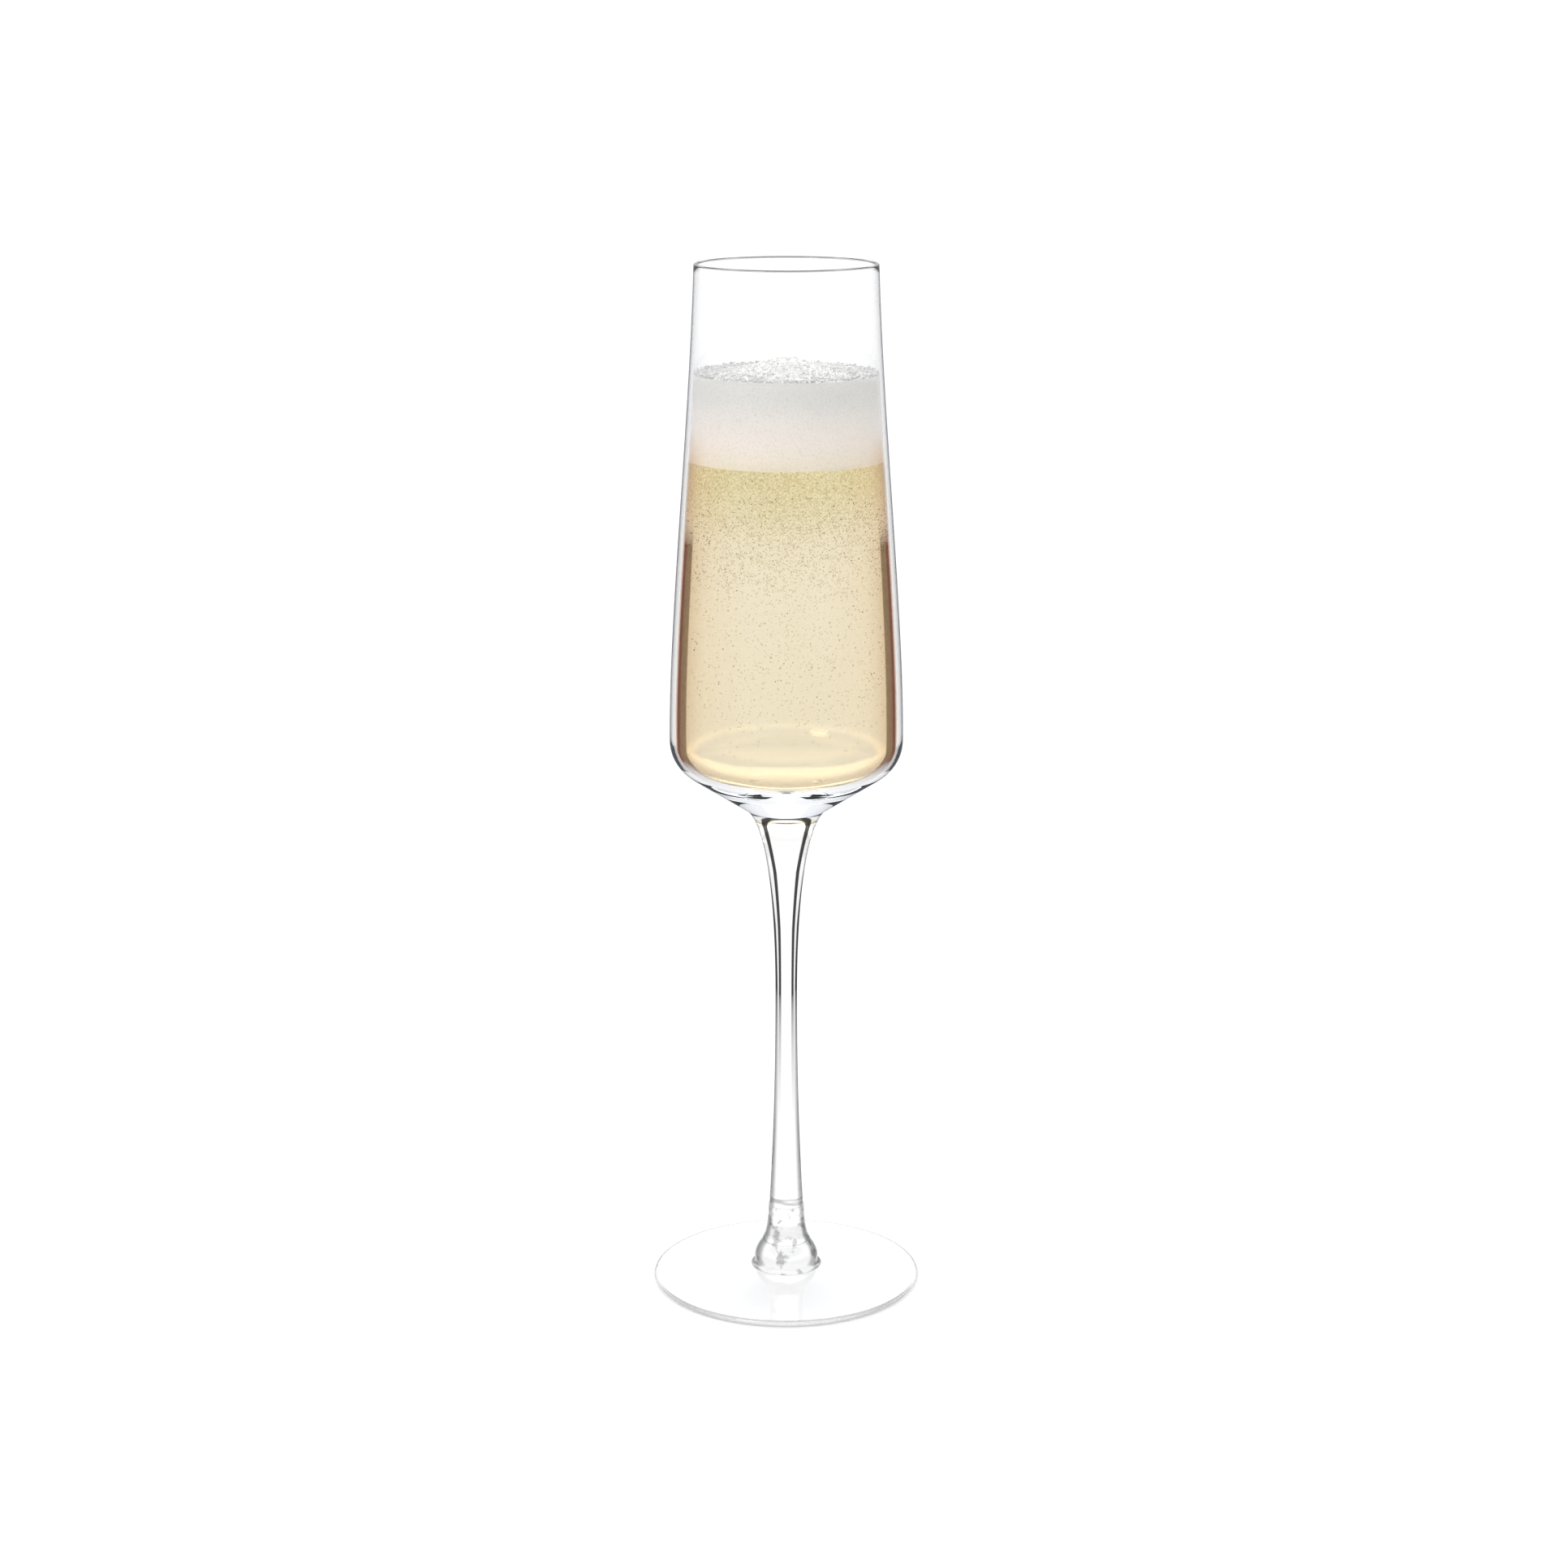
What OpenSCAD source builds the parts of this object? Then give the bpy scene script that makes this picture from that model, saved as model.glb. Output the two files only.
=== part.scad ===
// Champagne flute, filled: a blown bowl, a drawn stem and a spun foot of clear glass,
// fused at two welds, with its sparkling wine, mousse and froth as separate contents.
// Millimetres. The foot stands on z = 0 and the glass turns about the Z axis.

/* [Overall] */
// Height of the glass from the table to the top of the rim
glass_h = 270; // [262:1:280]
// Diameter of the foot
foot_d = 71; // [66:0.5:76]

/* [Bowl] */
// Outer diameter at the rim
rim_d = 46.3; // [44:0.1:49]
// Thickness of the fire-polished rim
rim_t = 1; // [0.8:0.05:1.3]
// Outer diameter at the heel, where the bowl is widest
heel_d = 60.2; // [58:0.1:63]
// Height of the heel's roundest point above the table
heel_h = 148.3; // [147:0.1:150]
// Radius of the rounded heel, outside
heel_round = 10.5; // [9.5:0.1:12]
// Wall thickness at the heel
heel_t = 1.45; // [1.2:0.05:2.2]
// Angle of the bowl's underside above the horizontal, in degrees
underside_angle = 33; // [31:0.5:35]
// Height of the lowest point of the inside floor
floor_h = 136.2; // [135:0.1:138]

/* [Stem] */
// Diameter where the stem meets the bowl
stem_top_d = 20.6; // [19:0.1:22]
// Diameter at the stem's narrowest place
waist_d = 5.7; // [5.2:0.1:6.4]
// Height of the narrowest place
waist_h = 80; // [70:1:90]
// Diameter at the weld to the foot
stem_foot_d = 9; // [8.4:0.1:9.4]
// Height of the weld between the stem and the foot
seam_h = 20.6; // [19:0.1:22]

/* [Foot] */
// Diameter of the foot's neck just under the weld
neck_d = 9.5; // [9.4:0.1:10.2]
// Diameter of the rounded button at the root of the neck
button_d = 16.9; // [16:0.1:18]
// Height of the button's widest place
button_h = 6; // [5.6:0.1:6.6]
// Thickness of the foot's rounded edge
edge_t = 1.85; // [1.5:0.05:2.2]
// Rise of the hollow underside at its centre
hollow_h = 1.2; // [0.6:0.1:1.6]

/* [Contents] */
// Height of the wine's surface, under the mousse
wine_h = 221.5; // [200:0.5:226]
// Height of the top of the fine mousse
mousse_h = 242; // [238:0.5:246]
// Height of the froth where it meets the wall
froth_wall_h = 243.3; // [242.8:0.1:247]
// Height of the froth's crown on the axis
froth_top_h = 247.3; // [247:0.1:250]

/* [Hidden] */
$fn = 180;

glass_colour = [0.86, 0.9, 0.91, 0.45];
wine_colour = [0.91, 0.84, 0.66];
mousse_colour = [0.89, 0.86, 0.82];
froth_colour = [0.93, 0.92, 0.89];

// Straight and rounded parts of the bowl's outside
rim_r = rim_d / 2;
heel_r = heel_d / 2;
rim_round = rim_t / 2;
heel_centre = [heel_r - heel_round, heel_h];
heel_turn = 90 - underside_angle;
heel_end = heel_centre + heel_round * [cos(heel_turn), -sin(heel_turn)];
stem_top_r = stem_top_d / 2;
weld_h = heel_end[1] - (heel_end[0] - stem_top_r) * tan(underside_angle);

// The wall leaves the heel upright and leans in by rim_lean at the rim
rim_lean = 0.033;
wall_rise = glass_h - rim_round - heel_h;
wall_low_pull = 0.26 * wall_rise;
wall_high_pull = 0.32 * wall_rise;

// Inside floor: a tighter heel and a shallow dish
inner_round = 9.5;
inner_heel_h = heel_h + 0.6;
inner_heel_r = heel_r - heel_t;
inner_angle = 24;
inner_turn = 90 - inner_angle;
inner_end = [inner_heel_r - inner_round, inner_heel_h]
    + inner_round * [cos(inner_turn), -sin(inner_turn)];
dish_pull = 9;
dish_flat = 7;

// Stem: a flare under the bowl, then a slow widening towards the foot
waist_r = waist_d / 2;
stem_foot_r = stem_foot_d / 2;
flare_pull = 8.5;
flare_angle = 42;
flare_reach = 17;
taper_power = 2.2;

// Foot: neck, button, upper face and edge
foot_r = foot_d / 2;
neck_r = neck_d / 2;
button_r = button_d / 2;
shoulder = [button_r - 1.65, button_h + 4];
button_root = [button_r + 0.95, button_h - 2.25];
edge_r = edge_t / 2;
ring_w = 2.6;
ring_r = foot_r - edge_r - ring_w;

// Froth: a low crown over an uneven ring
crown_width = 9;

function bezier(a, b, c, d, n) = [for (i = [0 : n]) let (t = i / n, s = 1 - t)
    s * s * s * a + 3 * s * s * t * b + 3 * s * t * t * c + t * t * t * d];
function arc(centre, r, from, to, n) = [for (i = [0 : n]) let (a = from + (to - from) * i / n)
    centre + r * [cos(a), sin(a)]];
function wall(low, high, n) = bezier(low, low + [0, wall_low_pull],
    high + [rim_lean, -1] * wall_high_pull, high, n);
function reversed(points) = [for (i = [len(points) - 1 : -1 : 0]) points[i]];

// Inside of the bowl from the middle of the floor to the rim
inside = concat(
    reversed(bezier(inner_end, inner_end - dish_pull * [cos(inner_angle), sin(inner_angle)],
        [dish_flat, floor_h], [0, floor_h], 14)),
    arc([inner_heel_r - inner_round, inner_heel_h], inner_round, -inner_turn, 0, 12),
    wall([inner_heel_r, inner_heel_h], [rim_r - rim_t, glass_h - rim_round], 24)
);

// Outside of the bowl from the weld to the rim, the fire-polished edge included
outside = concat(
    [[0, weld_h], [stem_top_r, weld_h]],
    arc(heel_centre, heel_round, -heel_turn, 0, 14),
    wall([heel_r, heel_h], [rim_r, glass_h - rim_round], 24),
    arc([rim_r - rim_round, glass_h - rim_round], rim_round, 15, 165, 8)
);

function taper_r(z) = waist_r
    + (stem_foot_r - waist_r) * pow((waist_h - z) / (waist_h - seam_h), taper_power);

stem_outline = concat(
    [[0, seam_h]],
    [for (i = [0 : 16]) let (z = seam_h + (waist_h - seam_h) * i / 16) [taper_r(z), z]],
    bezier([waist_r, waist_h], [waist_r, waist_h + flare_reach],
        [stem_top_r, weld_h] - flare_pull * [cos(flare_angle), sin(flare_angle)],
        [stem_top_r, weld_h], 30),
    [[0, weld_h]]
);

foot_outline = concat(
    [[0, seam_h]],
    bezier([neck_r, seam_h], [neck_r + 0.05, seam_h - 5], shoulder + [-1.4, 2.2], shoulder, 12),
    bezier(shoulder, shoulder + [1.2, -1.9], [button_r, button_h + 1.2], [button_r, button_h], 8),
    bezier([button_r, button_h], [button_r, button_h - 1.1], button_root + [-1.2, 0.55],
        button_root, 8),
    bezier(button_root, button_root + [7, -0.55], [foot_r - 9, edge_t + 0.35],
        [foot_r - edge_r, edge_t], 16),
    arc([foot_r - edge_r, edge_r], edge_r, 80, -80, 10),
    [[foot_r - edge_r, 0]],
    bezier([ring_r, 0], [ring_r - 1.2, 0.45], [ring_r / 2, hollow_h], [0, hollow_h], 16)
);

froth_outline = concat(
    [[0, mousse_h]],
    [[heel_r, mousse_h]],
    [for (i = [24 : -1 : 0]) let (r = rim_r * i / 24)
        [r, froth_wall_h + (froth_top_h - froth_wall_h) * exp(-pow(r / crown_width, 2))]]
);

// Full inside of the bowl, closed on the axis
module cavity() {
    polygon(concat(inside, [[0, glass_h - rim_round]]));
}

// What fills the bowl between two levels
module filling(low, high) {
    rotate_extrude()
        intersection() {
            cavity();
            translate([0, low])
                square([heel_r, high - low]);
        }
}

// Blown bowl: thin wall, round heel and the thick clear floor
module bowl() {
    color(glass_colour)
        rotate_extrude()
            polygon(concat(outside, reversed(inside)));
}

// Solid drawn stem with its trumpet flare under the bowl
module stem() {
    color(glass_colour)
        rotate_extrude()
            polygon(stem_outline);
}

// Foot with the neck and button that the stem is welded to
module foot() {
    color(glass_colour)
        rotate_extrude()
            polygon(foot_outline);
}

// Sparkling wine
module champagne() {
    color(wine_colour)
        filling(floor_h, wine_h);
}

// Fine mousse standing on the wine
module foam_head() {
    color(mousse_colour)
        filling(wine_h, mousse_h);
}

// Coarse froth with a low crown, on top of the mousse
module froth_cap() {
    color(froth_colour)
        rotate_extrude()
            intersection() {
                cavity();
                polygon(froth_outline);
            }
}

bowl();
stem();
foot();
champagne();
foam_head();
froth_cap();
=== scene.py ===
"""Champagne flute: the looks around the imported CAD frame. Lengths are in metres.

The glass, the wine, the mousse and the froth are lathed again, finer than the CAD solids, so that light
bends through them smoothly. Bubbles are added, and a white studio."""
import math
import random

import bmesh
import bpy
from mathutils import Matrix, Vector, noise


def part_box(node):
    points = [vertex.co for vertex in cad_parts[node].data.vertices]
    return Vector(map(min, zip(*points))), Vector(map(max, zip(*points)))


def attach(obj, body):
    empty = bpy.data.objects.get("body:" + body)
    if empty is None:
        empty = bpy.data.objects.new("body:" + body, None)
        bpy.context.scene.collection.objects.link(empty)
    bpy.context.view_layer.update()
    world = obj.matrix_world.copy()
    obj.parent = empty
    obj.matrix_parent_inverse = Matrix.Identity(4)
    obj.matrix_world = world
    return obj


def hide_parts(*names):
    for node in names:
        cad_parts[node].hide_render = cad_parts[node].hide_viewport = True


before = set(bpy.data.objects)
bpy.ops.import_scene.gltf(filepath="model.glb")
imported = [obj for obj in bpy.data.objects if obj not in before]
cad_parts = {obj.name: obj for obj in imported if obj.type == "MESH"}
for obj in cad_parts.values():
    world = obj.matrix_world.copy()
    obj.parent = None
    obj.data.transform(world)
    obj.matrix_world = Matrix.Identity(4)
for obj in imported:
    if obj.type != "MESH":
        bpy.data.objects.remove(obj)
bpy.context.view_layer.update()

MM = 0.001
TURN = 2 * math.pi
SEGMENTS = 160  # sides of every lathed piece
ON_AXIS = 1e-7  # a point with a smaller radius is a single point on the axis

# ---------------------------------------------------------------- sizes from the frame
GLASS_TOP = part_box("bowl")[1].z
WELD_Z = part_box("bowl")[0].z
SEAM_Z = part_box("stem")[0].z
WINE_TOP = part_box("champagne")[1].z
FLOOR_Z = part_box("champagne")[0].z
MOUSSE_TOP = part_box("foam_head")[1].z
FROTH_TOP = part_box("froth_cap")[1].z
HEEL_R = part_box("bowl")[1].x
STEM_TOP_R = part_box("stem")[1].x
FOOT_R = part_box("foot")[1].x

# ---------------------------------------------------------------- the design's other sizes
RIM_R = 23.15 * MM
RIM_ROUND = 0.5 * MM
RIM_LEAN = 0.033
WALL_LOW_PULL = 0.26  # how far the wall's curve is pulled at each end, as shares of its rise
WALL_HIGH_PULL = 0.32
HEEL_Z = 148.3 * MM
HEEL_ROUND = 10.5 * MM
HEEL_WALL = 1.45 * MM
UNDERSIDE = math.radians(33)
INNER_ROUND = 9.5 * MM
INNER_RISE = 0.6 * MM
DISH_SLOPE = math.radians(24)
DISH_PULL = 9 * MM
DISH_FLAT = 7 * MM
WAIST_R = 2.85 * MM
WAIST_Z = 80 * MM
STEM_FOOT_R = 4.5 * MM
TAPER_POWER = 2.2
FLARE_PULL = 8.5 * MM
FLARE_ANGLE = math.radians(42)
FLARE_REACH = 17 * MM
NECK_R = 4.75 * MM
BUTTON_R = 8.45 * MM
BUTTON_Z = 6 * MM
EDGE_T = 1.85 * MM
RING_W = 2.6 * MM
HOLLOW = 1.2 * MM
FROTH_WALL_Z = 243.3 * MM
CROWN_WIDTH = 9 * MM
AIR_GAP = 0.05 * MM  # the hairline between the mousse or the froth and the glass; the wine's is twice that
FLOOR_GAP = 0.1 * MM  # keeps the studio floor off the foot's resting ring
WINE_INTO_MOUSSE = 0.1 * MM  # the wine and the mousse overlap, so that no gap shows between them
MOUSSE_INTO_WINE = 0.3 * MM
FROTH_DROP = 0.4 * MM  # the mound lies this far under the CAD froth, and its bubbles stand out of it
FROTH_SIDE_DROP = 0.5 * MM  # its side ends this far under the CAD froth's edge
CROWN_SHARE = 0.86  # of the CAD froth's crown, for the same reason

# ---------------------------------------------------------------- marks of the tools on the neck and button
TOOL_RING_DEPTH = 0.035 * MM
TOOL_RING_PITCH = 0.42 * MM
TOOL_RINGS = ((SEAM_Z - 2.2 * MM, 1.6 * MM, 1.0), (11.5 * MM, 1.8 * MM, 0.8))  # height, spread, strength
TOOLED_R = 9 * MM  # nothing further out is marked

# ---------------------------------------------------------------- heights between which one tint of painted shade and painted reflection gives way
HAZE_EDGE = (222 * MM, 230 * MM)  # the painted peach reflection beside the haze below, clear above
DARK_EDGE = (201 * MM, 207 * MM)  # the dark line of painted shade at the wine's edge below, the haze above
HEEL_EDGE = (140 * MM, 146 * MM)  # clear below, where the wine has curved away
STEM_LINES = (44 * MM, 80 * MM)  # soft grey edges of painted shade below, dark lines of painted shade above
STEM_FLARE = (98 * MM, WELD_Z)  # the stem's surface turns down more and more between these
HAZE_LOW = 197 * MM  # where the haze of bubbles under the mousse begins

# ---------------------------------------------------------------- bubbles
# Rising ones, in layers: how many, how far under the wine's surface the layer starts, how deep it is
RISING_LAYERS = (
    (700, 4 * MM, 14 * MM),
    (2300, 14 * MM, 20 * MM),
    (900, 32 * MM, 36 * MM),
    (70, 66 * MM, 14 * MM),
)
RISING_SIZES = (0.11 * MM, 0.2 * MM)
RISING_CLEARANCE = 2.2 * MM  # between the rising bubbles and the glass
CLINGING_AT_HAZE = 300
CLINGING_DEPTH = 17.5 * MM  # under the wine's surface, on average
CLINGING_SPREAD = 4 * MM
CLINGING_LOWER = 600
LOWER_START = 14 * MM  # under the wine's surface
LOWER_REACH = 56 * MM
CLINGING_SIZES = (0.09 * MM, 0.2 * MM)
FROTH_BUBBLES = 5200
FROTH_RING_BUBBLES = 900
SMALLEST_IN_FROTH = 0.09 * MM
SMALL_SPHERE = (4, 6)  # rings and sides of one bubble's mesh
FROTH_SPHERE = (5, 7)


# ---------------------------------------------------------------- outlines, as (radius, height)
def bezier(a, b, c, d, n):
    points = []
    for i in range(n + 1):
        t = i / n
        s = 1 - t
        weights = (s * s * s, 3 * s * s * t, 3 * s * t * t, t * t * t)
        points.append(tuple(sum(w * p[k] for w, p in zip(weights, (a, b, c, d))) for k in (0, 1)))
    return points


def arc(centre, radius, start, end, n):
    angles = [start + (end - start) * i / n for i in range(n + 1)]
    return [(centre[0] + radius * math.cos(a), centre[1] + radius * math.sin(a)) for a in angles]


def wall(low, high, n):
    rise = GLASS_TOP - RIM_ROUND - HEEL_Z
    leave = (low[0], low[1] + WALL_LOW_PULL * rise)
    arrive = (high[0] + RIM_LEAN * WALL_HIGH_PULL * rise, high[1] - WALL_HIGH_PULL * rise)
    return bezier(low, leave, arrive, high, n)


def inside_outline():
    """The bowl's inside, from the middle of the floor up to the rim."""
    heel_r = HEEL_R - HEEL_WALL
    heel_z = HEEL_Z + INNER_RISE
    centre = (heel_r - INNER_ROUND, heel_z)
    turn = math.pi / 2 - DISH_SLOPE
    heel = arc(centre, INNER_ROUND, -turn, 0, 20)
    end = heel[0]
    pulled = (end[0] - DISH_PULL * math.cos(DISH_SLOPE), end[1] - DISH_PULL * math.sin(DISH_SLOPE))
    dish = bezier((0, FLOOR_Z), (DISH_FLAT, FLOOR_Z), pulled, end, 24)
    side = wall((heel_r, heel_z), (RIM_R - 2 * RIM_ROUND, GLASS_TOP - RIM_ROUND), 60)
    return dish + heel[1:] + side[1:]


def bowl_outline():
    """The bowl's outside from the weld up, over the rim and down the inside."""
    turn = math.pi / 2 - UNDERSIDE
    heel = arc((HEEL_R - HEEL_ROUND, HEEL_Z), HEEL_ROUND, -turn, 0, 20)
    cone = bezier((STEM_TOP_R, WELD_Z), (STEM_TOP_R, WELD_Z), heel[0], heel[0], 10)
    side = wall((HEEL_R, HEEL_Z), (RIM_R, GLASS_TOP - RIM_ROUND), 60)
    rim = arc((RIM_R - RIM_ROUND, GLASS_TOP - RIM_ROUND), RIM_ROUND, 0, math.pi, 12)
    return cone + heel[1:] + side[1:] + rim[1:-1] + inside_outline()[::-1]


def stem_outline():
    pulled = (
        STEM_TOP_R - FLARE_PULL * math.cos(FLARE_ANGLE),
        WELD_Z - FLARE_PULL * math.sin(FLARE_ANGLE),
    )
    taper = []
    for i in range(41):
        z = SEAM_Z + (WAIST_Z - SEAM_Z) * i / 40
        share = (WAIST_Z - z) / (WAIST_Z - SEAM_Z)
        taper.append((WAIST_R + (STEM_FOOT_R - WAIST_R) * share**TAPER_POWER, z))
    flare = bezier((WAIST_R, WAIST_Z), (WAIST_R, WAIST_Z + FLARE_REACH), pulled, (STEM_TOP_R, WELD_Z), 60)
    return taper + flare[1:]


def foot_outline():
    """The foot from the weld down its neck and button, out over the top and in under the hollow."""
    shoulder = (BUTTON_R - 1.65 * MM, BUTTON_Z + 4 * MM)
    root = (BUTTON_R + 0.95 * MM, BUTTON_Z - 2.25 * MM)
    edge = EDGE_T / 2
    edge_r = FOOT_R - edge
    ring_r = edge_r - RING_W
    neck = bezier(
        (NECK_R, SEAM_Z),
        (NECK_R + 0.05 * MM, SEAM_Z - 5 * MM),
        (shoulder[0] - 1.4 * MM, shoulder[1] + 2.2 * MM),
        shoulder,
        40,
    )
    bulge = bezier(
        shoulder,
        (shoulder[0] + 1.2 * MM, shoulder[1] - 1.9 * MM),
        (BUTTON_R, BUTTON_Z + 1.2 * MM),
        (BUTTON_R, BUTTON_Z),
        14,
    )
    fillet = bezier(
        (BUTTON_R, BUTTON_Z),
        (BUTTON_R, BUTTON_Z - 1.1 * MM),
        (root[0] - 1.2 * MM, root[1] + 0.55 * MM),
        root,
        14,
    )
    top = bezier(
        root,
        (root[0] + 7 * MM, root[1] - 0.55 * MM),
        (FOOT_R - 9 * MM, EDGE_T + 0.35 * MM),
        (edge_r, EDGE_T),
        30,
    )
    rounded = arc((edge_r, edge), edge, math.pi / 2, -math.pi / 2, 16)
    under = bezier((ring_r, 0), (ring_r - 1.2 * MM, 0.45 * MM), (ring_r / 2, HOLLOW), (0, HOLLOW), 24)
    return [(STEM_FOOT_R, SEAM_Z)] + neck + bulge[1:] + fillet[1:] + top[1:] + rounded[1:] + under


def filling_outline(low, high, gap):
    """What lies inside the bowl between two heights, kept a gap away from the glass. A low height under
    the bowl's floor means that the filling starts on the floor."""
    side = [(r - gap, z + gap) for r, z in inside_outline() if r > gap]

    def radius_at(z):
        a, b = next((a, b) for a, b in zip(side, side[1:]) if a[1] <= z <= b[1] and b[1] > a[1])
        return a[0] + (b[0] - a[0]) * (z - a[1]) / (b[1] - a[1])

    bottom = [(0, side[0][1])] if low < side[0][1] else [(0, low), (radius_at(low), low)]
    kept = [p for p in side if low < p[1] < high]
    return bottom + kept + [(radius_at(high), high), (0, high)]


# ---------------------------------------------------------------- meshes
def make_object(name, verts, faces, materials, face_materials=None):
    mesh = bpy.data.meshes.new(name)
    mesh.from_pydata([tuple(v) for v in verts], [], faces)
    for m in materials:
        mesh.materials.append(m)
    if face_materials:
        mesh.polygons.foreach_set("material_index", face_materials)
    mesh.shade_smooth()
    mesh.set_sharp_from_angle(angle=math.radians(38))
    mesh.validate()
    obj = bpy.data.objects.new(name, mesh)
    bpy.context.scene.collection.objects.link(obj)
    return obj


def lathe(name, outline, materials, caps=(), shape=None):
    """Turns an outline about Z into a mesh. caps says which ends are closed, by faces of the second
    material. shape(radius, height, angle) may move a point a little."""
    verts = []
    rings = []
    for r, z in outline:
        if r < ON_AXIS:
            rings.append([len(verts)])
            verts.append((0, 0, z))
            continue
        ring = []
        for i in range(SEGMENTS):
            a = TURN * i / SEGMENTS
            moved_r, moved_z = shape(r, z, a) if shape else (r, z)
            ring.append(len(verts))
            verts.append((moved_r * math.cos(a), moved_r * math.sin(a), moved_z))
        rings.append(ring)
    faces = []
    kinds = []
    for low, high in zip(rings, rings[1:]):
        for i in range(SEGMENTS):
            j = (i + 1) % SEGMENTS
            if len(low) == 1:
                faces.append((low[0], high[j], high[i]))
            elif len(high) == 1:
                faces.append((low[i], low[j], high[0]))
            else:
                faces.append((low[i], low[j], high[j], high[i]))
            kinds.append(0)
    for end in caps:
        index = 0 if end == "first" else -1
        ring = rings[index]
        centre = len(verts)
        verts.append((0, 0, outline[index][1]))
        for i in range(SEGMENTS):
            j = (i + 1) % SEGMENTS
            faces.append((centre, ring[j], ring[i]) if end == "first" else (centre, ring[i], ring[j]))
            kinds.append(1)
    return make_object(name, verts, faces, materials, kinds)


def outward(obj):
    """Turns the faces to look out, whichever way the outline ran."""
    bm = bmesh.new()
    bm.from_mesh(obj.data)
    bmesh.ops.recalc_face_normals(bm, faces=bm.faces)
    bm.to_mesh(obj.data)
    bm.free()
    return obj


# ---------------------------------------------------------------- materials
def new_material(name):
    mat = bpy.data.materials.new(name)
    mat.use_nodes = True
    tree = mat.node_tree
    return mat, tree, tree.nodes["Principled BSDF"]


def add(tree, kind, **values):
    """A node, with attributes by name and inputs by their label, spaces as underscores."""
    node = tree.nodes.new(kind)
    for key, value in values.items():
        if hasattr(node, key):
            setattr(node, key, value)
        else:
            node.inputs[key.replace("_", " ")].default_value = value
    return node


def ramp(tree, source, stops):
    """A colour ramp fed by source. stops are (position, (r, g, b))."""
    node = tree.nodes.new("ShaderNodeValToRGB")
    elements = node.color_ramp.elements
    elements[0].position, elements[0].color = stops[0][0], (*stops[0][1], 1)
    elements[1].position, elements[1].color = stops[-1][0], (*stops[-1][1], 1)
    for position, colour in stops[1:-1]:
        elements.new(position).color = (*colour, 1)
    tree.links.new(source, node.inputs["Fac"])
    return node.outputs["Color"]


def grey(v, warm=0.0):
    """A grey, or a slightly brown one: warm is the share of blue taken out."""
    return (v, v * (1 - 0.5 * warm), v * (1 - warm))


def facing(tree):
    """How far the surface turns away from the ray that meets it, 0 to 1."""
    return add(tree, "ShaderNodeLayerWeight", Blend=0.5).outputs["Facing"]


def facing_ramp(tree, stops):
    return ramp(tree, facing(tree), stops)


def blend_colours(tree, factor, a, b, blend_type="MIX"):
    """a at factor 0, b at factor 1. Both are colour outputs or fixed colours. factor is an output or a
    number."""
    node = add(tree, "ShaderNodeMix", data_type="RGBA", blend_type=blend_type)
    for socket, value in (("Factor", factor), ("A", a), ("B", b)):
        if isinstance(value, bpy.types.NodeSocket):
            tree.links.new(value, node.inputs[socket])
        elif socket == "Factor":
            node.inputs[socket].default_value = value
        else:
            node.inputs[socket].default_value = (*value, 1)
    return node.outputs["Result"]


def passing(stops):
    """Turns stops of the light let through into stops of a glass surface's base colour. A surface
    lets through the square root of its base colour."""
    return [(position, tuple(c * c for c in colour)) for position, colour in stops]


def glass(name, stops, wave_scale, wave_depth, below=(), ior=1.5, painted_facet_shade=0.0, flare=None):
    """Clear glass. stops give the light let through, by how far the surface turns away; where they darken
    the turned-away surface they are painted shade and painted reflection, in place of the dark edges and
    lines that glass takes from its surroundings. below holds ((low, high), stops), from the top down:
    these stops take over from the ones above them from high to low. painted_facet_shade is how dark the
    irregular patches of painted shade on the tooled glass are, at most. Between the heights in flare the
    surface turns down more and more, and the stops move along with it."""
    mat, tree, bsdf = new_material(name)
    bsdf.inputs["Transmission Weight"].default_value = 1
    bsdf.inputs["Roughness"].default_value = 0.0
    bsdf.inputs["IOR"].default_value = ior
    place = add(tree, "ShaderNodeTexCoord").outputs["Object"]
    # the tint is painted shade: it darkens the glass where its surface turns away
    if flare:
        turns = [(0, grey(0.0)), (0.5, grey(0.07)), (0.8, grey(0.2)), (1, grey(0.3))]
        turn = ramp(tree, height_share(tree, *flare, place), turns)
        moved = add(tree, "ShaderNodeMath", operation="SUBTRACT")
        tree.links.new(facing(tree), moved.inputs[0])
        tree.links.new(turn, moved.inputs[1])
        tint = ramp(tree, moved.outputs[0], passing(stops))
    else:
        tint = facing_ramp(tree, passing(stops))
    for (low, high), lower_stops in below:
        # height_share is 0 at the low height, so the lower stops come first
        share = height_share(tree, low, high, place)
        tint = blend_colours(tree, share, facing_ramp(tree, passing(lower_stops)), tint)
    # painted shade: irregular noise patches darken the glass, for the uneven shading of its tooled facets
    if painted_facet_shade:
        facet_shade_noise = add(tree, "ShaderNodeTexNoise", Scale=300.0, Detail=2.0)
        tree.links.new(place, facet_shade_noise.inputs["Vector"])
        shade = ramp(tree, facet_shade_noise.outputs["Fac"], [(0.36, grey((1 - painted_facet_shade) ** 2)), (0.45, grey(1.0))])
        tint = blend_colours(tree, 1.0, tint, shade, "MULTIPLY")
    tree.links.new(tint, bsdf.inputs["Base Color"])
    waves = add(tree, "ShaderNodeTexNoise", Scale=wave_scale, Detail=1.0)
    tree.links.new(place, waves.inputs["Vector"])
    bump = add(tree, "ShaderNodeBump", Strength=0.6, Distance=wave_depth)
    tree.links.new(waves.outputs["Fac"], bump.inputs["Height"])
    tree.links.new(bump.outputs["Normal"], bsdf.inputs["Normal"])
    return mat


def weld_face(name):
    """Nothing shows of such a face: the welds, where the glass goes on, and the foot's hollow underside."""
    mat, _, bsdf = new_material(name)
    bsdf.inputs["Alpha"].default_value = 0
    return mat


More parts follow.
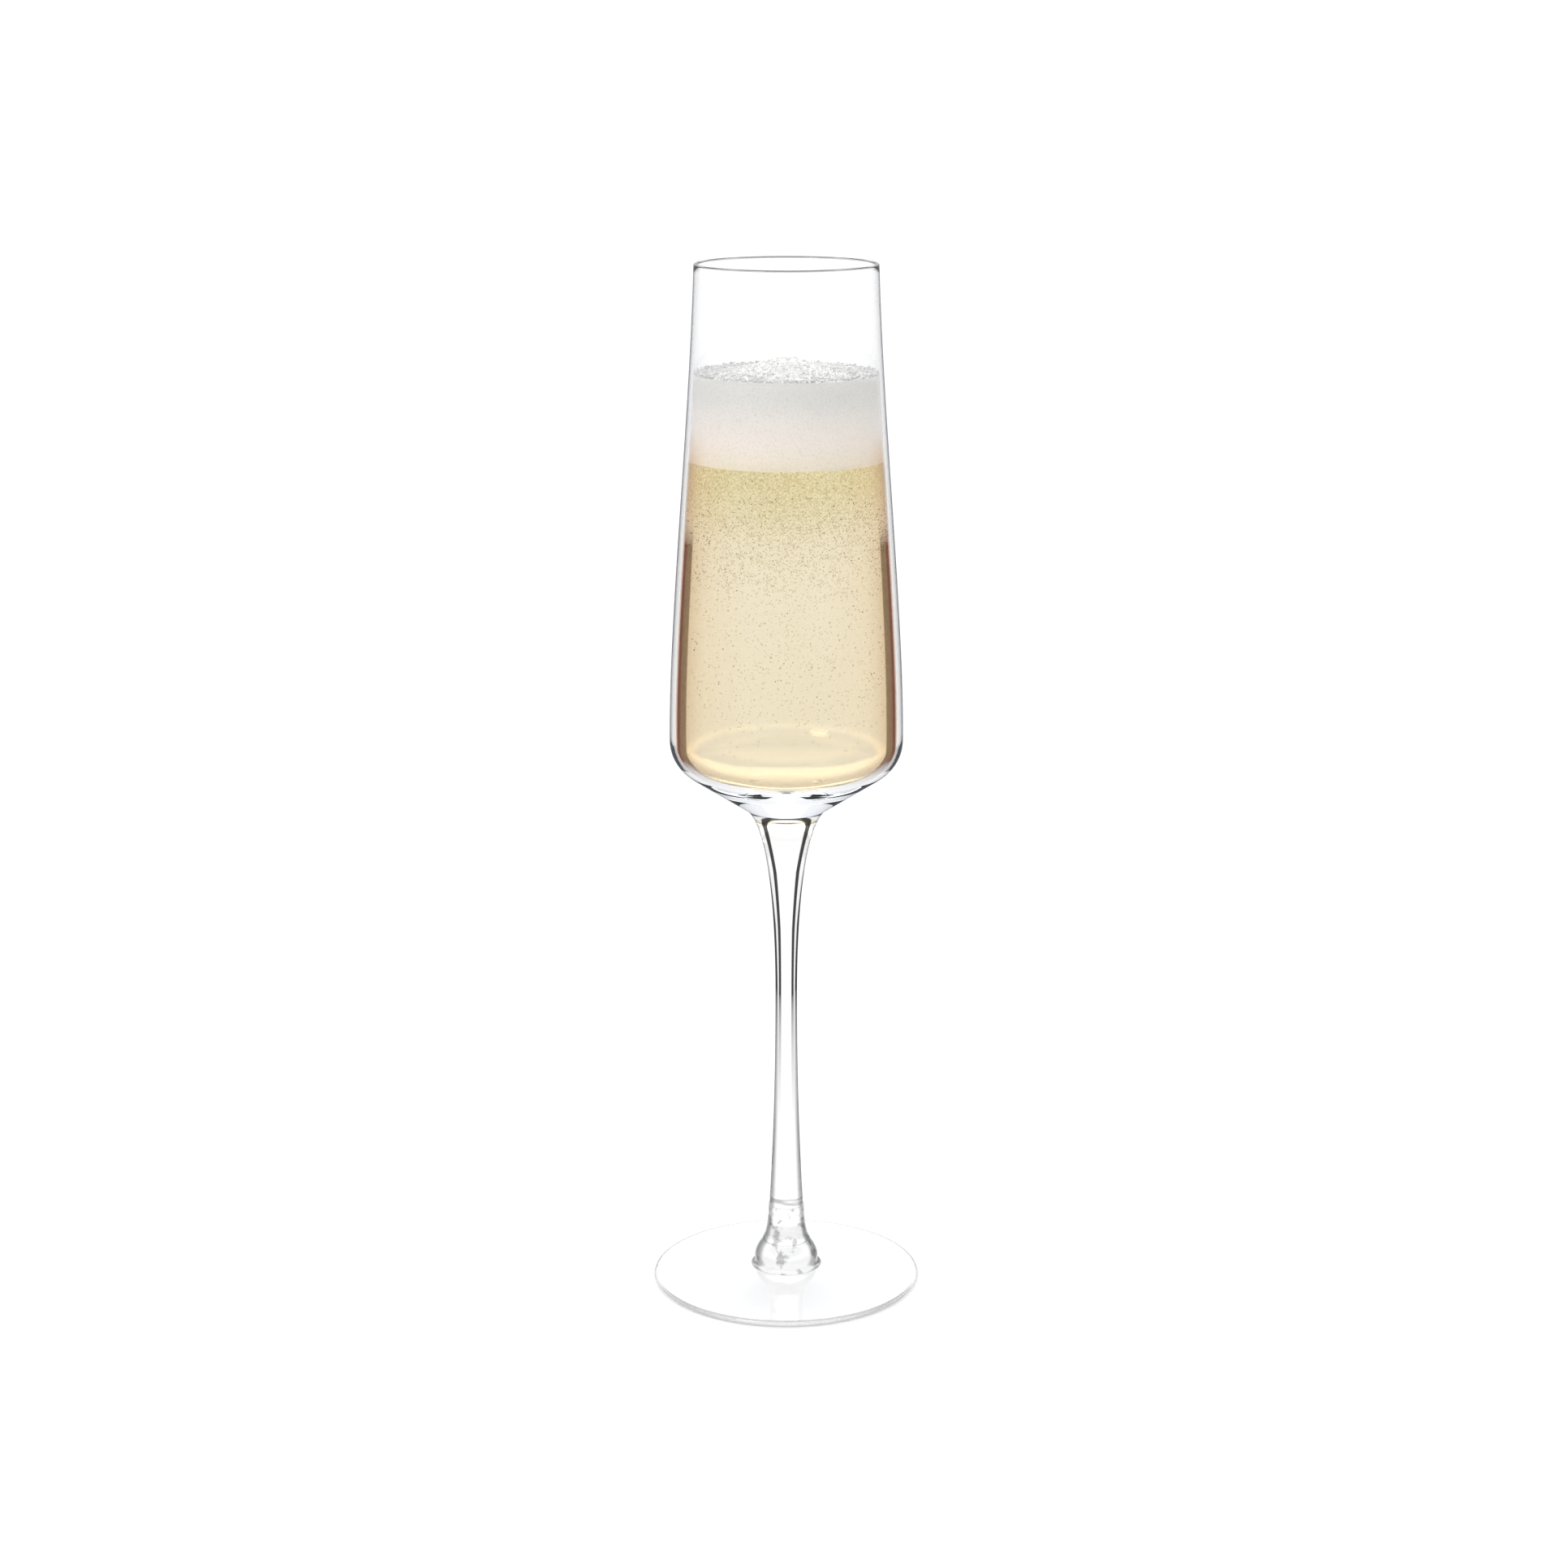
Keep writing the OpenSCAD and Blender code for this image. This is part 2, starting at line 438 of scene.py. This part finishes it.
def height_share(tree, low, high, place):
    """0 at the low height, 1 at the high one."""
    split = add(tree, "ShaderNodeSeparateXYZ")
    tree.links.new(place, split.inputs[0])
    share = add(tree, "ShaderNodeMapRange")
    share.inputs["From Min"].default_value = low
    share.inputs["From Max"].default_value = high
    tree.links.new(split.outputs["Z"], share.inputs["Value"])
    return share.outputs["Result"]


def flatness(tree, low, high):
    """0 where a surface stands upright, 1 where it lies flat: its normal's Z goes from low to high."""
    split = add(tree, "ShaderNodeSeparateXYZ")
    tree.links.new(add(tree, "ShaderNodeNewGeometry").outputs["Normal"], split.inputs[0])
    flat = add(tree, "ShaderNodeMath", operation="ABSOLUTE")
    tree.links.new(split.outputs["Z"], flat.inputs[0])
    share = add(tree, "ShaderNodeMapRange")
    share.inputs["From Min"].default_value = low
    share.inputs["From Max"].default_value = high
    tree.links.new(flat.outputs[0], share.inputs["Value"])
    return share.outputs["Result"]


def wandering(tree, value, place, scale, amount):
    """The value, shifted to and fro by slow noise."""
    drift = add(tree, "ShaderNodeTexNoise", Scale=scale, Detail=2.0)
    tree.links.new(place, drift.inputs["Vector"])
    shifted = add(tree, "ShaderNodeMath", operation="MULTIPLY_ADD")
    shifted.inputs[1].default_value = amount
    tree.links.new(drift.outputs["Fac"], shifted.inputs[0])
    tree.links.new(value, shifted.inputs[2])
    return shifted.outputs[0]


def wine_material():
    """Pale gold wine. Where its surface turns away it is painted deeper and browner in colour: painted shade
    for the dark band at its edges and the line along its floor. A haze of fine bubbles clouds it under the
    mousse."""
    # painted shade: darker, browner tints where the wine's surface turns away, on upright walls and on the
    # lying floor
    upright = [
        (0.0, (1, 1, 1)),
        (0.08, (1, 1, 1)),
        (0.3, (0.96, 0.92, 0.855)),
        (0.6, (0.93, 0.86, 0.76)),
        (1, (0.7, 0.55, 0.4)),
    ]
    lying = [
        (0.0, (1, 1, 1)),
        (0.5, (0.95, 0.9, 0.8)),
        (0.8, (0.88, 0.8, 0.62)),
        (0.95, (0.8, 0.6, 0.42)),
        (1, (0.4, 0.2, 0.1)),
    ]
    fine_bubbles = [(0.15, (1.0, 0.98, 0.82)), (0.42, (0.88, 0.85, 0.62)), (0.75, (0.68, 0.62, 0.38))]
    mat, tree, bsdf = new_material("sparkling_wine")
    bsdf.inputs["Transmission Weight"].default_value = 1
    bsdf.inputs["Roughness"].default_value = 0.0
    bsdf.inputs["IOR"].default_value = 1.03
    place = add(tree, "ShaderNodeTexCoord").outputs["Object"]
    flat = flatness(tree, 0.45, 0.6)
    edge = blend_colours(tree, flat, facing_ramp(tree, upright), facing_ramp(tree, lying))
    grains = add(tree, "ShaderNodeTexVoronoi", Scale=1900.0)
    tree.links.new(place, grains.inputs["Vector"])
    speckle = ramp(tree, grains.outputs["Distance"], fine_bubbles)
    depth = wandering(tree, height_share(tree, HAZE_LOW, WINE_TOP, place), place, 30.0, 0.5)
    cloud = ramp(tree, depth, [(0.25, grey(0.0)), (0.5, grey(0.3)), (0.75, grey(0.85)), (1.0, grey(1.0))])
    haze = blend_colours(tree, cloud, (1, 1, 1), speckle)
    tree.links.new(blend_colours(tree, 1.0, edge, haze, "MULTIPLY"), bsdf.inputs["Base Color"])
    volume = add(tree, "ShaderNodeVolumeAbsorption", Color=(0.692, 0.525, 0.058, 1), Density=12.0)
    tree.links.new(volume.outputs["Volume"], tree.nodes["Material Output"].inputs["Volume"])
    return mat


def mousse_material():
    """Fine foam: greyish at the top, creamy at its ragged lower edge."""
    mat, tree, bsdf = new_material("mousse")
    place = add(tree, "ShaderNodeTexCoord").outputs["Object"]
    share = height_share(tree, WINE_TOP, MOUSSE_TOP, place)
    ragged = wandering(tree, wandering(tree, share, place, 140.0, 0.16), place, 1300.0, 0.2)
    colours = ramp(
        tree,
        ragged,
        [
            (0.15, (0.94, 0.84, 0.62)),
            (0.22, (1.0, 0.9, 0.74)),
            (0.48, (1.0, 0.91, 0.82)),
            (0.78, (0.92, 0.87, 0.81)),
            (1.0, (0.83, 0.815, 0.77)),
        ],
    )
    grains = add(tree, "ShaderNodeTexVoronoi", Scale=2300.0)
    tree.links.new(place, grains.inputs["Vector"])
    speckle = ramp(tree, grains.outputs["Distance"], [(0.0, grey(1.0)), (0.5, grey(0.98)), (0.9, grey(0.89))])
    tree.links.new(blend_colours(tree, 1.0, colours, speckle, "MULTIPLY"), bsdf.inputs["Base Color"])
    bump = add(tree, "ShaderNodeBump", Strength=0.35, Distance=0.0002)
    bump.invert = True
    tree.links.new(grains.outputs["Distance"], bump.inputs["Height"])
    tree.links.new(bump.outputs["Normal"], bsdf.inputs["Normal"])
    bsdf.inputs["Roughness"].default_value = 0.55
    return mat


def froth_material():
    """What shows between the coarse bubbles."""
    mat, tree, bsdf = new_material("froth")
    place = add(tree, "ShaderNodeTexCoord").outputs["Object"]
    cells = add(tree, "ShaderNodeTexVoronoi", Scale=900.0)
    tree.links.new(place, cells.inputs["Vector"])
    greys = [(0.0, grey(0.62)), (0.45, grey(0.6, 0.02)), (0.8, grey(0.56, 0.05))]
    tint = ramp(tree, cells.outputs["Distance"], greys)
    # the side against the glass is as pale as the mousse below it
    tint = blend_colours(tree, flatness(tree, 0.2, 0.6), (0.81, 0.8, 0.76), tint)
    tree.links.new(tint, bsdf.inputs["Base Color"])
    bump = add(tree, "ShaderNodeBump", Strength=0.4, Distance=0.0003)
    bump.invert = True
    tree.links.new(cells.outputs["Distance"], bump.inputs["Height"])
    tree.links.new(bump.outputs["Normal"], bsdf.inputs["Normal"])
    bsdf.inputs["Roughness"].default_value = 0.25
    return mat


def bubble_material(name, ior, stops):
    """A clear bubble, painted darker where its surface turns away: painted shade for the dark ring of a
    bubble.
    """
    mat = bpy.data.materials.new(name)
    mat.use_nodes = True
    tree = mat.node_tree
    tree.nodes.remove(tree.nodes["Principled BSDF"])
    shader = add(tree, "ShaderNodeBsdfGlass", IOR=ior, Roughness=0.0)
    tree.links.new(facing_ramp(tree, stops), shader.inputs["Color"])
    tree.links.new(shader.outputs[0], tree.nodes["Material Output"].inputs["Surface"])
    return mat


def bead_material(name, colour, clear):
    """A bubble crowded by others: it scatters white light, and glints."""
    mat, tree, bsdf = new_material(name)
    place = add(tree, "ShaderNodeTexCoord").outputs["Object"]
    change = add(tree, "ShaderNodeTexNoise", Scale=900.0, Detail=1.0)
    tree.links.new(place, change.inputs["Vector"])
    shades = [(0.35, tuple(0.88 * c for c in colour)), (0.6, colour)]
    tree.links.new(ramp(tree, change.outputs["Fac"], shades), bsdf.inputs["Base Color"])
    bsdf.inputs["Transmission Weight"].default_value = clear
    bsdf.inputs["Roughness"].default_value = 0.06
    bsdf.inputs["IOR"].default_value = 1.33
    return mat


# ---------------------------------------------------------------- bubbles
def sphere_template(rings, sides):
    """A unit sphere of triangles. Every other ring is turned by half a side."""
    verts = [(0, 0, 1)]
    for i in range(1, rings):
        t = math.pi * i / rings
        for j in range(sides):
            p = TURN * (j + 0.5 * (i % 2)) / sides
            verts.append((math.sin(t) * math.cos(p), math.sin(t) * math.sin(p), math.cos(t)))
    verts.append((0, 0, -1))
    faces = []
    for j in range(sides):
        k = (j + 1) % sides
        faces.append((0, 1 + j, 1 + k))
        last = 1 + (rings - 2) * sides
        faces.append((len(verts) - 1, last + k, last + j))
    for i in range(rings - 2):
        for j in range(sides):
            k = (j + 1) % sides
            a = 1 + i * sides
            b = 1 + (i + 1) * sides
            if i % 2 == 0:
                faces.append((a + j, b + j, a + k))
                faces.append((a + k, b + j, b + k))
            else:
                faces.append((a + j, b + j, b + k))
                faces.append((a + j, b + k, a + k))
    return verts, faces


def bubbles(name, places, material, rings, sides):
    """One piece of many small spheres. places are (x, y, z, radius)."""
    template, template_faces = sphere_template(rings, sides)
    verts = []
    faces = []
    for x, y, z, radius in places:
        base = len(verts)
        verts.extend((x + radius * a, y + radius * b, z + radius * c) for a, b, c in template)
        faces.extend(tuple(base + i for i in f) for f in template_faces)
    mesh = bpy.data.meshes.new(name)
    mesh.from_pydata(verts, [], faces)
    mesh.materials.append(material)
    mesh.shade_smooth()
    obj = bpy.data.objects.new(name, mesh)
    bpy.context.scene.collection.objects.link(obj)
    return obj


def inside_radius(z):
    """The bowl's inside radius at a height."""
    side = inside_outline()
    for a, b in zip(side, side[1:]):
        if a[1] <= z <= b[1] and b[1] > a[1]:
            return a[0] + (b[0] - a[0]) * (z - a[1]) / (b[1] - a[1])
    return side[-1][0]


def froth_height(r, a, top_r):
    """The mound's uneven top: a low crown, and lumps that flatten towards the wall."""
    crown = (FROTH_TOP - FROTH_WALL_Z) * math.exp(-((r / CROWN_WIDTH) ** 2))
    x = r * math.cos(a)
    y = r * math.sin(a)
    lumps = noise.noise(Vector((x, y, 0)) * 200) * 0.4 * MM
    lumps += noise.noise(Vector((x, y, 9)) * 700) * 0.16 * MM
    from_wall = min(1, (top_r - r) / (4 * MM))
    return FROTH_WALL_Z + crown * CROWN_SHARE + lumps * (0.35 + 0.65 * from_wall) - FROTH_DROP


def rising_places(rng):
    """Crowded in the haze, sparse lower down."""
    places = []
    for count, top, depth in RISING_LAYERS:
        for _ in range(count):
            z = WINE_TOP - top - rng.random() * depth
            r = math.sqrt(rng.random()) * (inside_radius(z) - RISING_CLEARANCE)
            a = rng.random() * TURN
            places.append((r * math.cos(a), r * math.sin(a), z, rng.uniform(*RISING_SIZES)))
    return places


def clinging_places(rng):
    """On the glass: crowded at the foot of the haze, then thinning out downwards."""
    depths = [rng.gauss(CLINGING_DEPTH, CLINGING_SPREAD) for _ in range(CLINGING_AT_HAZE)]
    depths += [LOWER_START + rng.random() ** 1.7 * LOWER_REACH for _ in range(CLINGING_LOWER)]
    places = []
    for depth in depths:
        z = WINE_TOP - depth
        size = rng.uniform(*CLINGING_SIZES)
        r = inside_radius(z) - AIR_GAP - size
        a = rng.random() * TURN
        places.append((r * math.cos(a), r * math.sin(a), z, size))
    return places


def froth_places(rng):
    """Over the froth's top, most of them small, and in a wet ring against the glass."""
    places = []
    top_r = inside_radius(FROTH_WALL_Z) - AIR_GAP
    for _ in range(FROTH_BUBBLES):
        size = SMALLEST_IN_FROTH + rng.random() ** 5 * 0.4 * MM
        r = math.sqrt(rng.random()) * (top_r - size)
        a = rng.random() * TURN
        z = froth_height(r, a, top_r) + size * rng.uniform(-0.5, 0.35)
        places.append((r * math.cos(a), r * math.sin(a), min(z, FROTH_TOP - size), size))
    for _ in range(FROTH_RING_BUBBLES):
        size = SMALLEST_IN_FROTH + rng.random() ** 4 * 0.3 * MM
        z = FROTH_WALL_Z - rng.random() ** 1.5 * 2.6 * MM
        r = inside_radius(z) - AIR_GAP - size - 0.02 * MM
        a = rng.random() * TURN
        places.append((r * math.cos(a), r * math.sin(a), z, size))
    return places


# ---------------------------------------------------------------- the pieces
def tooled(r, z, a):
    """Fine rings that the tools leave just under the weld and over the button."""
    if r >= TOOLED_R:
        return r, z
    ring = TOOL_RING_DEPTH * math.sin(z / TOOL_RING_PITCH + 0.6 * math.sin(a + 1))
    near = sum(share * math.exp(-(((z - height) / spread) ** 2)) for height, spread, share in TOOL_RINGS)
    return r + ring * near, z


def bowl_tints():
    """The bowl's tints over its outer side: above the wine, and then from the top down. They are painted
    shade and painted reflection: a dark band at the wine's edge, peach and gold of the wine beside it,
    and at the end of each a dark outline where the glass turns away, in place of the dark edges that
    glass takes from its surroundings."""
    # painted shade: the dark outline where the glass turns away
    outline = [(0.78, grey(0.97)), (0.84, grey(0.78)), (0.92, grey(0.45)), (1, grey(0.22))]
    clear = [(0, grey(1.0)), (0.7, grey(1.0))] + outline
    # painted reflection: peach and gold of the wine at the edges beside the haze
    painted_haze_edge_reflection = [
        (0, grey(1.0)),
        (0.12, grey(1.0)),
        (0.4, (0.99, 0.95, 0.9)),
        (0.52, (0.93, 0.83, 0.72)),
        (0.64, (0.85, 0.7, 0.6)),
        (0.69, grey(1.0)),
    ] + outline
    # painted shade and painted reflection: a dark band at the wine's edge, with gold and peach around it
    painted_wine_edge_band = [
        (0, grey(1.0)),
        (0.3, (0.98, 0.96, 0.92)),
        (0.49, (0.86, 0.76, 0.62)),
        (0.505, (0.33, 0.25, 0.16)),
        (0.59, (0.3, 0.2, 0.13)),
        (0.61, (0.24, 0.08, 0.03)),
        (0.65, (0.26, 0.1, 0.05)),
        (0.665, (0.85, 0.62, 0.52)),
        (0.7, grey(1.0)),
    ] + outline
    return clear, [(HAZE_EDGE, painted_haze_edge_reflection), (DARK_EDGE, painted_wine_edge_band), (HEEL_EDGE, clear)]


def build_bowl(weld):
    # painted reflection and painted shade: blue-grey tints for the thick base's facets, and a dark outline
    under = [
        (0, grey(1.0)),
        (0.5, grey(1.0)),
        (0.66, (0.93, 0.95, 0.98)),
        (0.82, (0.87, 0.89, 0.92)),
        (0.93, (0.73, 0.76, 0.8)),
        (1, grey(0.3)),
    ]
    # painted shade: the rim is painted grey, darker as it turns away, for the dark line of the rounded rim
    rim_painted_shade = [(0, grey(0.55, 0.05)), (0.6, grey(0.45, 0.05)), (1, grey(0.22))]
    side, lower_sides = bowl_tints()
    materials = [
        glass("bowl_glass", side, 60.0, 0.00002, lower_sides),
        weld,
        glass("rim_glass", rim_painted_shade, 60.0, 0.00002),
        glass("bowl_inside_glass", [(0, grey(1.0)), (1, grey(0.98))], 60.0, 0.00001),
        glass("bowl_base_glass", under, 45.0, 0.0002, ior=1.15),
    ]
    outer, _, rim, inside, base = range(len(materials))
    bowl = outward(lathe("blown_bowl", bowl_outline(), materials, caps=("first",)))
    for face in bowl.data.polygons:
        inward = face.normal.x * face.center.x + face.normal.y * face.center.y < 0
        if face.center.z > GLASS_TOP - RIM_ROUND:
            face.material_index = rim
        elif inward or face.normal.z > 0.3:
            face.material_index = inside
        elif face.normal.z < -0.75 and face.material_index == outer:
            face.material_index = base
    return bowl


def build_stem(weld):
    # painted shade: near-black lines and grey edges where the rod turns away, for the dark lines a glass rod
    # shows
    rod_painted_dark_lines = [
        (0, grey(1.0)),
        (0.14, grey(1.0)),
        (0.17, grey(0.06, 0.2)),
        (0.29, grey(0.04, 0.2)),
        (0.33, grey(0.88)),
        (0.46, grey(0.92)),
        (0.62, grey(0.5)),
        (0.8, grey(0.42)),
        (1, grey(0.5)),
    ]
    # painted shade: soft grey edges lower down the rod
    rod_painted_grey_edges = [
        (0, grey(1.0)),
        (0.28, grey(0.97)),
        (0.36, grey(0.75)),
        (0.48, grey(0.45)),
        (0.7, grey(0.4)),
        (0.85, grey(0.45)),
        (1, grey(0.36)),
    ]
    rod_glass = glass("stem_glass", rod_painted_dark_lines, 160.0, 0.00003, [(STEM_LINES, rod_painted_grey_edges)], flare=STEM_FLARE)
    return outward(lathe("drawn_stem", stem_outline(), [rod_glass, weld], caps=("first", "last")))


def build_foot(weld):
    # painted shade: dark outlines on the disc and the button where the glass turns away
    disc_painted_outline = [(0, grey(1.0)), (0.8, grey(1.0)), (0.88, grey(0.7)), (1, grey(0.22))]
    knob_painted_shade = [
        (0, grey(1.0)),
        (0.3, grey(0.97)),
        (0.42, grey(0.5)),
        (0.6, grey(0.3)),
        (0.8, grey(0.45)),
        (1, grey(0.3)),
    ]
    # painted shade: grey bands and a dark outline on the rounded edge
    rounded = [(0, grey(0.9)), (0.25, grey(0.6)), (0.5, grey(0.62)), (0.64, grey(0.9)), (1, grey(0.15))]
    materials = [
        glass("foot_glass", disc_painted_outline, 90.0, 0.00003),
        weld,
        # the button also gets noise patches of painted shade
        glass("button_glass", knob_painted_shade, 90.0, 0.00006, painted_facet_shade=0.45),
        glass("foot_edge_glass", rounded, 90.0, 0.00002),
    ]
    plain, hollow, button, edge = range(len(materials))
    foot = outward(lathe("spun_foot", foot_outline(), materials, caps=("first",), shape=tooled))
    edge_r = FOOT_R - EDGE_T / 2
    for face in foot.data.polygons:
        r = math.hypot(face.center.x, face.center.y)
        if face.normal.z < -0.7 and r < edge_r - RING_W:
            face.material_index = hollow
        elif r < BUTTON_R + 1 * MM and face.material_index == plain:
            face.material_index = button
        elif r > edge_r - 0.1 * MM:
            face.material_index = edge
    return foot


def build_glass():
    weld = weld_face("weld_face")
    for piece, node in ((build_bowl(weld), "bowl"), (build_stem(weld), "stem"), (build_foot(weld), "foot")):
        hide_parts(node)
        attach(piece, "root")


def build_contents():
    liquid = filling_outline(0, WINE_TOP + WINE_INTO_MOUSSE, 2 * AIR_GAP)
    wine = outward(lathe("wine", liquid, [wine_material()]))
    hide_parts("champagne")
    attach(wine, "root")
    foam = filling_outline(WINE_TOP - MOUSSE_INTO_WINE, MOUSSE_TOP, AIR_GAP)
    mousse = outward(lathe("fine_mousse", foam, [mousse_material()]))
    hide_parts("foam_head")
    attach(mousse, "root")
    mound = build_froth_mound()
    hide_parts("froth_cap")
    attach(mound, "root")


def build_froth_mound():
    top_r = inside_radius(FROTH_WALL_Z) - AIR_GAP
    base_r = inside_radius(MOUSSE_TOP) - AIR_GAP
    outline = [(0, MOUSSE_TOP), (base_r, MOUSSE_TOP), (top_r, FROTH_WALL_Z - FROTH_SIDE_DROP)]
    outline += [(top_r * (1 - i / 30), FROTH_WALL_Z) for i in range(1, 30)]
    outline.append((0, froth_height(0, 0, top_r)))

    def shape(r, z, a):
        return (r, froth_height(r, a, top_r)) if z == FROTH_WALL_Z else (r, z)

    return outward(lathe("froth_mound", outline, [froth_material()], shape=shape))


def build_bubbles():
    rng = random.Random(7)
    # painted shade: a bubble darkens towards its edge, for the dark ring it shows
    ring_painted_shade = [
        (0, (1, 1, 1)),
        (0.2, (0.93, 0.91, 0.84)),
        (0.6, (0.77, 0.72, 0.59)),
        (1, (0.64, 0.58, 0.45)),
    ]
    in_wine = bubble_material("bubble_in_wine", 0.95, ring_painted_shade)
    cream = bead_material("bubble_on_glass", (0.99, 0.95, 0.84), 0.15)
    film = bead_material("bubble_film", (0.84, 0.845, 0.82), 0.12)
    pieces = [
        (bubbles("rising_bubbles", rising_places(rng), in_wine, *SMALL_SPHERE), "sparkling_wine"),
        (bubbles("clinging_bubbles", clinging_places(rng), cream, *SMALL_SPHERE), "sparkling_wine"),
        (bubbles("froth_bubbles", froth_places(rng), film, *FROTH_SPHERE), "froth"),
    ]
    for piece, slot in pieces:
        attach(piece, "root")


# ---------------------------------------------------------------- studio
def build_reflected_tray():
    """A wide dark tray round the glass that only reflections see, like the dark cards of a studio. It has
    a hole under the foot, and its rim fades out upwards."""
    sides = 32
    rings = ((0.06, -0.5 * FLOOR_GAP), (3.0, -0.5 * FLOOR_GAP), (3.6, 0.3), (4.0, 0.7))
    fade_height = 0.65
    verts = []
    faces = []
    for r, z in rings:
        for j in range(sides):
            a = TURN * j / sides
            verts.append((r * math.cos(a), r * math.sin(a), z))
    for i in range(len(rings) - 1):
        low = i * sides
        high = low + sides
        for j in range(sides):
            k = (j + 1) % sides
            faces.append((low + j, low + k, high + k, high + j))
    mat, tree, bsdf = new_material("dark_card")
    bsdf.inputs["Base Color"].default_value = (0.12, 0.125, 0.14, 1)
    bsdf.inputs["Roughness"].default_value = 1
    bsdf.inputs["Specular IOR Level"].default_value = 0
    place = add(tree, "ShaderNodeTexCoord").outputs["Object"]
    rise = height_share(tree, 0, fade_height, place)
    tree.links.new(ramp(tree, rise, [(0, grey(1.0)), (1, grey(0.0))]), bsdf.inputs["Alpha"])
    tray = make_object("reflected_tray", verts, faces, [mat])
    tray.visible_camera = False
    tray.visible_diffuse = False
    tray.visible_transmission = False
    tray.visible_volume_scatter = False
    tray.visible_shadow = False


def build_floor():
    """A white floor, mostly by its own light, so that it meets the white background unseen."""
    bpy.ops.mesh.primitive_plane_add(size=60, location=(0, 0, -FLOOR_GAP))
    floor = bpy.context.object
    floor.name = "studio_floor"
    mat, _, bsdf = new_material("studio_floor")
    bsdf.inputs["Base Color"].default_value = (0.2, 0.2, 0.2, 1)
    bsdf.inputs["Emission Color"].default_value = (1, 1, 1, 1)
    bsdf.inputs["Emission Strength"].default_value = 0.74
    bsdf.inputs["Roughness"].default_value = 1
    bsdf.inputs["Specular IOR Level"].default_value = 0
    floor.data.materials.append(mat)


def build_background():
    """As bright as the floor up to a little over the horizon, brighter above that, then a dark band and a
    softer top. Only reflections and bent light see the upper parts."""
    world = bpy.data.worlds.new("studio")
    bpy.context.scene.world = world
    world.use_nodes = True
    tree = world.node_tree
    sky = tree.nodes["Background"]
    place = add(tree, "ShaderNodeTexCoord").outputs["Generated"]
    split = add(tree, "ShaderNodeSeparateXYZ")
    tree.links.new(place, split.inputs[0])
    stops = [
        (0.0, grey(0.34)),
        (0.2, grey(0.34)),
        (0.33, grey(1.0)),
        (0.43, grey(1.0)),
        (0.54, (0.24, 0.255, 0.28)),
        (0.68, (0.23, 0.24, 0.27)),
        (0.78, grey(0.7)),
        (1, grey(0.7)),
    ]
    tree.links.new(ramp(tree, split.outputs["Z"], stops), sky.inputs["Color"])
    sky.inputs["Strength"].default_value = 3.1


def build_key_light():
    light = bpy.data.lights.new("key", "AREA")
    light.energy = 1.6
    light.size = 0.25
    key = bpy.data.objects.new("key", light)
    bpy.context.scene.collection.objects.link(key)
    key.location = (-0.45, -0.55, 0.75)
    key.rotation_euler = (Vector((0, 0, 0.2)) - key.location).to_track_quat("-Z", "Y").to_euler()


def build_camera():
    """A little above the rim and looking 14 degrees down at the glass."""
    camera = bpy.data.cameras.new("camera")
    camera.lens = 71.62
    camera.sensor_width = 36
    obj = bpy.data.objects.new("camera", camera)
    bpy.context.scene.collection.objects.link(obj)
    obj.location = (-0.6 * MM, -784.4 * MM, 332.1 * MM)
    obj.rotation_euler = (math.radians(90 - 14.01), 0, 0)
    bpy.context.scene.camera = obj
    bpy.context.scene.view_settings.view_transform = "Standard"


build_camera()
build_floor()
build_reflected_tray()
build_background()
build_key_light()
build_glass()
build_contents()
build_bubbles()
